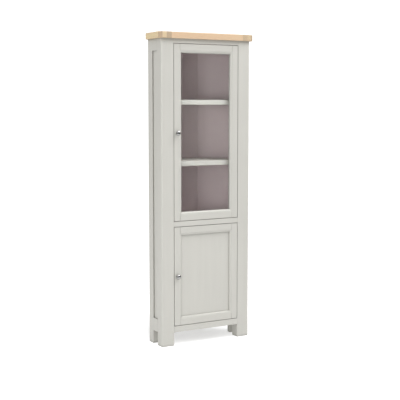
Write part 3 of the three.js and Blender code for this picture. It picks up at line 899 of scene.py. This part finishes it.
# A turned knob: stepped base, slim neck and a domed head with a soft shoulder
knob = {
    "profile": [
        (0.0, 0.0),
        (0.0080, 0.0),
        (0.0080, 0.0012),
        (0.0076, 0.0019),
        (0.0064, 0.0023),
        (0.0050, 0.0031),
        (0.0046, 0.0048),
        (0.0048, 0.0066),
        (0.0062, 0.0084),
        (0.0098, 0.0104),
        (0.0130, 0.0126),
        (0.0147, 0.0153),
        (0.0150, 0.0174),
        (0.0145, 0.0196),
        (0.0130, 0.0219),
        (0.0104, 0.0239),
        (0.0070, 0.0253),
        (0.0034, 0.0259),
        (0.0, 0.0260),
    ],
    "sides": 48,
    "rounding": 1,
}
forwards, backwards = (0.0, -1.0, 0.0), (0.0, 1.0, 0.0)
leftwards, rightwards = (-1.0, 0.0, 0.0), (1.0, 0.0, 0.0)


def turned(profile, sides):
    bm = bmesh.new()
    points = [bm.verts.new((radius, 0.0, height)) for radius, height in profile]
    lines = [bm.edges.new(pair) for pair in zip(points, points[1:])]
    bmesh.ops.spin(
        bm,
        geom=points + lines,
        cent=(0.0, 0.0, 0.0),
        axis=(0.0, 0.0, 1.0),
        angle=2 * math.pi,
        steps=sides,
        use_merge=True,
    )
    bmesh.ops.remove_doubles(bm, verts=bm.verts, dist=easing["mergeDistance"])
    bmesh.ops.recalc_face_normals(bm, faces=bm.faces)
    return bm


def standing(direction, spot):
    turn = Vector(direction).to_track_quat("Z", "Y").to_matrix().to_4x4()
    return Matrix.Translation(spot) @ turn


def addKnob(nodeName):
    low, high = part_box(nodeName)
    spot = ((low.x + high.x) / 2, high.y, (low.z + high.z) / 2)
    bm = turned(knob["profile"], knob["sides"])
    bmesh.ops.transform(bm, matrix=standing(forwards, spot), verts=bm.verts)
    piece = showMesh(f"{nodeName}_turned", bm, bodyOfNode[nodeName], [chrome])
    piece.data.polygons.foreach_set("use_smooth", [True] * len(piece.data.polygons))
    rounded = piece.modifiers.new("rounder", "SUBSURF")
    rounded.levels = rounded.render_levels = knob["rounding"]
    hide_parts(nodeName)


for nodeName in ("upper_door_knob", "lower_door_knob"):
    addKnob(nodeName)
print("knobs turned")


# A screw head with a cross recess. Radii in its profile and recess are shares of its radius
screw = {
    "profile": [
        (0.0, -0.0004),
        (1.0, -0.0004),
        (1.0, 0.0003),
        (0.86, 0.00075),
        (0.55, 0.00105),
        (0.0, 0.00115),
    ],
    "sides": 20,
    "recessLength": 1.15,
    "recessWidth": 0.24,
    "recessDepth": 0.0007,
    "big": 0.0036,
    "small": 0.0026,
    "firstTurn": 0.4,
    "nextTurn": 0.7,
    "sharpAbove": math.radians(35),
}
# The plain domed head of a panel pin
pin = {
    "profile": [
        (0.0, -0.0004),
        (0.0011, -0.0004),
        (0.0011, 0.0001),
        (0.0008, 0.0004),
        (0.0, 0.0005),
    ],
    "sides": 12,
}


def addBox(bm, size, spot):
    matrix = Matrix.Translation(spot) @ Matrix.Diagonal((*size, 1.0))
    bmesh.ops.create_cube(bm, size=1.0, matrix=matrix)


def makeScrewHead(radius):
    profile = [(share * radius, height) for share, height in screw["profile"]]
    headMesh = meshFrom("screwHead", turned(profile, screw["sides"]))
    cutter = bmesh.new()
    top = (0.0, 0.0, screw["profile"][-1][1])
    length, width = screw["recessLength"] * radius, screw["recessWidth"] * radius
    addBox(cutter, (length, width, screw["recessDepth"] * 2), top)
    addBox(cutter, (width, length, screw["recessDepth"] * 2), top)
    cutterMesh = meshFrom("screwRecess", cutter)
    headObject = bpy.data.objects.new("screwHead", headMesh)
    cutterObject = bpy.data.objects.new("screwRecess", cutterMesh)
    for item in (headObject, cutterObject):
        scene.collection.objects.link(item)
    cut = headObject.modifiers.new("recess", "BOOLEAN")
    cut.operation = "DIFFERENCE"
    cut.solver = "EXACT"
    cut.use_self = True
    cut.object = cutterObject
    bpy.context.view_layer.update()
    shaped = headObject.evaluated_get(bpy.context.evaluated_depsgraph_get())
    finished = bpy.data.meshes.new_from_object(shaped)
    for item in (headObject, cutterObject):
        bpy.data.objects.remove(item)
    return finished


fixingHeads = {size: makeScrewHead(screw[size]) for size in ("big", "small")}
fixingHeads["pin"] = meshFrom("pinHead", turned(pin["profile"], pin["sides"]))


def addHeads(name, body, kind, places, direction):
    bm = bmesh.new()
    for number, place in enumerate(places):
        start = len(bm.verts)
        bm.from_mesh(fixingHeads[kind])
        bm.verts.ensure_lookup_table()
        turn = screw["nextTurn"] * number + screw["firstTurn"]
        matrix = standing(direction, place) @ Matrix.Rotation(turn, 4, "Z")
        bmesh.ops.transform(bm, matrix=matrix, verts=bm.verts[start:])
    piece = showMesh(name, bm, body, [nickel])
    smoothFaces(piece, screw["sharpAbove"])


# Screws on the hinges, strike plates, catches and knobs, from the ends and faces of each
fixings = {
    "wingInset": 0.0045,
    "plateInset": 0.0055,
    "plateThickness": 0.002,
    "strikeInset": 0.0065,
    "baseInset": 0.0048,
    "catchBase": 0.003,
    "armStandOff": 0.009,
    "armScrewBack": 0.011,
}


def addFixings():
    for nodeName in sorted(nodes):
        low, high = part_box(nodeName)
        middle = (low + high) / 2
        body = bodyOfNode[nodeName]
        screws = f"{nodeName}_screws"
        if "_hinge_cup_" in nodeName:
            inset = fixings["wingInset"]
            places = [(middle.x, high.y, z) for z in (low.z + inset, high.z - inset)]
            addHeads(screws, body, "small", places, backwards)
        elif "_hinge_arm_" in nodeName:
            inset = fixings["plateInset"]
            plate = high.x - fixings["plateThickness"]
            depth = (middle.y + high.y) / 2
            places = [(plate, depth, z) for z in (low.z + inset, high.z - inset)]
            addHeads(screws, body, "big", places, leftwards)
            arm = high.x - fixings["armStandOff"]
            places = [(arm, high.y - fixings["armScrewBack"], middle.z)]
            addHeads(f"{nodeName}_adjuster", body, "big", places, leftwards)
        elif nodeName.endswith("_strike"):
            inset = fixings["strikeInset"]
            places = [(middle.x, high.y, z) for z in (low.z + inset, high.z - inset)]
            addHeads(screws, body, "small", places, backwards)
        elif nodeName.endswith("_catch"):
            inset = fixings["baseInset"]
            base = low.x + fixings["catchBase"]
            places = [(base, middle.y, z) for z in (low.z + inset, high.z - inset)]
            addHeads(screws, body, "small", places, rightwards)
        elif nodeName.endswith("_knob"):
            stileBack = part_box(nodeName.replace("_knob", "_stile_left"))[1].y
            places = [(middle.x, stileBack, middle.z)]
            addHeads(f"{nodeName}_bolt", body, "big", places, backwards)


# Two steel strips on the nose of each magnetic catch carry its pull to the strike plate
catchStrips = {
    "width": 0.0016,
    "height": 0.020,
    "sunk": 0.004,
    "proud": 0.0001,
    "apart": 0.0052,
    "easing": 0.0002,
}


def addCatchStrips(nodeName):
    low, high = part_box(nodeName)
    depth = catchStrips["sunk"] + catchStrips["proud"]
    face = low.y - catchStrips["proud"]
    middle = (low.x + fixings["catchBase"] + high.x) / 2
    half = catchStrips["apart"] / 2
    bm = bmesh.new()
    for across in (middle - half, middle + half):
        size = (catchStrips["width"], depth, catchStrips["height"])
        addBox(bm, size, (across, face + depth / 2, (low.z + high.z) / 2))
    ease(bm, bm.edges[:], catchStrips["easing"])
    showMesh(f"{nodeName}_strips", bm, bodyOfNode[nodeName], [nickel])


def spaced(low, high, inset, spacing):
    first, last = low + inset, high - inset
    count = max(1, round((last - first) / spacing))
    return [first + (last - first) * step / count for step in range(count + 1)]


# Pins hold the strip behind the pane, a row along each of its four sides
retainerPins = {"inset": 0.0045, "endInset": 0.0135, "spacing": 0.16}


def addRetainerPins(nodeName):
    low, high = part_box(nodeName)
    inset = retainerPins["inset"]
    ends = (retainerPins["endInset"], retainerPins["spacing"])
    heights = spaced(low.z, high.z, *ends)
    widths = spaced(low.x, high.x, *ends)
    places = [(x, high.y, z) for x in (low.x + inset, high.x - inset) for z in heights]
    places += [(x, high.y, z) for z in (low.z + inset, high.z - inset) for x in widths]
    addHeads(f"{nodeName}_pins", bodyOfNode[nodeName], "pin", places, backwards)


# Screws hold each back panel along its two upright edges
backScrews = {
    "inset": 0.012,
    "endInset": 0.024,
    "spacing": 0.23,
    "sameWay": 0.99,
    "outward": {
        "back_panel_left": (-1.0, 1.0, 0.0),
        "back_panel_centre": (0.0, 1.0, 0.0),
        "back_panel_right": (1.0, 1.0, 0.0),
    },
}


def addBackScrews(nodeName):
    outward = Vector(backScrews["outward"][nodeName]).normalized()
    sideways = Vector((0.0, 0.0, 1.0)).cross(outward)
    mesh = nodes[nodeName].data
    sameWay = backScrews["sameWay"]
    outside = [face for face in mesh.polygons if face.normal.dot(outward) > sameWay]
    corners = [mesh.vertices[index].co for face in outside for index in face.vertices]
    depth = max(corner.dot(outward) for corner in corners)
    reach = [corner.dot(sideways) for corner in corners]
    heights = [corner.z for corner in corners]
    inset = backScrews["inset"]
    ends = (backScrews["endInset"], backScrews["spacing"])
    places = [
        sideways * along + outward * depth + Vector((0.0, 0.0, z))
        for along in (min(reach) + inset, max(reach) - inset)
        for z in spaced(min(heights), max(heights), *ends)
    ]
    addHeads(f"{nodeName}_screws", bodyOfNode[nodeName], "small", places, outward)


addFixings()
for nodeName in ("upper_catch", "lower_catch"):
    addCatchStrips(nodeName)
addRetainerPins("upper_door_glass_retainer")
for nodeName in backScrews["outward"]:
    addBackScrews(nodeName)
print("screws, pins and strips added")

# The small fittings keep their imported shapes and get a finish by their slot
fittingFinishes = {"steel": nickel, "catch": plastic}
for nodeName in sorted(nodes):
    finish = fittingFinishes.get(slotOfNode[nodeName])
    if finish:
        data = nodes[nodeName].data
        data.materials.clear()
        data.materials.append(finish)
print("small fittings finished")


# A pale floor and soft light all round, stronger from above and in front
studio = {
    "floorReach": 6.0,
    "floorLight": (0.62, 0.62, 0.62),
    "floorDark": (0.58, 0.58, 0.58),
    "floorMottle": (1.5, 3.0, 0.5),
    "floorRough": 0.7,
    "floorGlow": 0.22,
    "nearGlow": 0.28,
    "farGlow": 0.75,
    "shadeCentre": (0.05, 0.22, 0.0),
    "farFrom": 0.22,
    "farTo": 0.62,
    "white": (1.0, 1.0, 1.0, 1.0),
    "skyLow": 0.03,
    "skyHigh": 1.08,
    "darkCentre": (0.78, -0.62, -0.02),
    "darkFrom": 0.80,
    "darkTo": 0.92,
    "darkDepth": 0.85,
    "backdrop": 1.2,
    "lights": [
        ("key", (2.2, -2.2, 4.4), 3.0, 125.0),
        ("balance", (-2.2, -2.2, 4.4), 3.0, 14.0),
        ("side", (-4.0, -0.5, 3.0), 2.2, 43.0),
        ("low", (-3.2, -3.6, 1.1), 1.8, 45.0),
    ],
    "unseen": ("side", "low"),
    "aim": (0.0, 0.0, 1.0),
}


# What the eye meets directly or through the pane, and not by a bounce
def eyeRays(tree):
    path = addNode(tree, "ShaderNodeLightPath").outputs
    through = path["Is Transmission Ray"]
    for depth in ("Diffuse Depth", "Glossy Depth"):
        through = times(tree, through, maths(tree, "LESS_THAN", path[depth], 0.5))
    return maths(tree, "MAXIMUM", path["Is Camera Ray"], through)


def addFloor():
    bm = bmesh.new()
    bmesh.ops.create_grid(bm, x_segments=2, y_segments=2, size=studio["floorReach"])
    mesh = meshFrom("studioFloor", bm)
    floor = bpy.data.objects.new("studioFloor", mesh)
    scene.collection.objects.link(floor)
    material, tree, shader = newMaterial(
        "floorCard",
        Roughness=studio["floorRough"],
        Emission_Color=studio["white"],
    )
    spot = objectSpot(tree)
    # The floor glows a little for every ray, lighting the cupboard from below. To the eye it glows
    # more with distance from the shade centre, which paints a soft shadow under the cupboard and
    # paints the floor around it white
    pair = {0: spot, 1: studio["shadeCentre"]}
    distance = addNode(tree, "ShaderNodeVectorMath", pair, operation="DISTANCE").outputs["Value"]
    reach = (studio["farFrom"], studio["farTo"], studio["nearGlow"], studio["farGlow"])
    far = times(tree, spread(tree, distance, *reach, soft=True), eyeRays(tree))
    tree.links.new(plus(tree, far, studio["floorGlow"]), shader["Emission Strength"])
    mottle = noise(tree, spot, *studio["floorMottle"])
    colour = blendColours(tree, mottle, studio["floorDark"], studio["floorLight"])
    tree.links.new(colour, shader["Base Color"])
    mesh.materials.append(material)


def addSky():
    world = bpy.data.worlds.new("softStudio")
    world.use_nodes = True
    scene.world = world
    tree = world.node_tree
    direction = addNode(tree, "ShaderNodeTexCoord").outputs["Generated"]
    height = addNode(tree, "ShaderNodeSeparateXYZ", {0: direction}).outputs["Z"]
    bright = spread(tree, height, 0.0, 1.0, studio["skyLow"], studio["skyHigh"])
    near = dotOf(tree, direction, Vector(studio["darkCentre"]).normalized())
    limits = (studio["darkFrom"], studio["darkTo"], 0.0, studio["darkDepth"])
    dark = spread(tree, near, *limits, soft=True)
    shade = times(tree, bright, minus(tree, 1.0, dark))
    soft = tree.nodes["Background"]
    tree.links.new(shade, soft.inputs["Strength"])
    soft.inputs["Color"].default_value = studio["white"]
    plain = {"Color": studio["white"], "Strength": studio["backdrop"]}
    backdrop = addNode(tree, "ShaderNodeBackground", plain)
    pair = {0: eyeRays(tree), 1: soft.outputs[0], 2: backdrop.outputs[0]}
    mix = addNode(tree, "ShaderNodeMixShader", pair)
    tree.links.new(mix.outputs[0], tree.nodes["World Output"].inputs["Surface"])


def addLights():
    for name, place, size, power in studio["lights"]:
        data = bpy.data.lights.new(name, "AREA")
        data.shape = "DISK"
        data.size = size
        data.energy = power
        light = bpy.data.objects.new(name, data)
        light.location = place
        aim = Vector(studio["aim"]) - Vector(place)
        light.rotation_euler = aim.to_track_quat("-Z", "Y").to_euler()
        light.visible_camera = False
        light.visible_glossy = name not in studio["unseen"]
        scene.collection.objects.link(light)


addFloor()
addSky()
addLights()
scene.view_settings.view_transform = "Standard"
print("studio set")
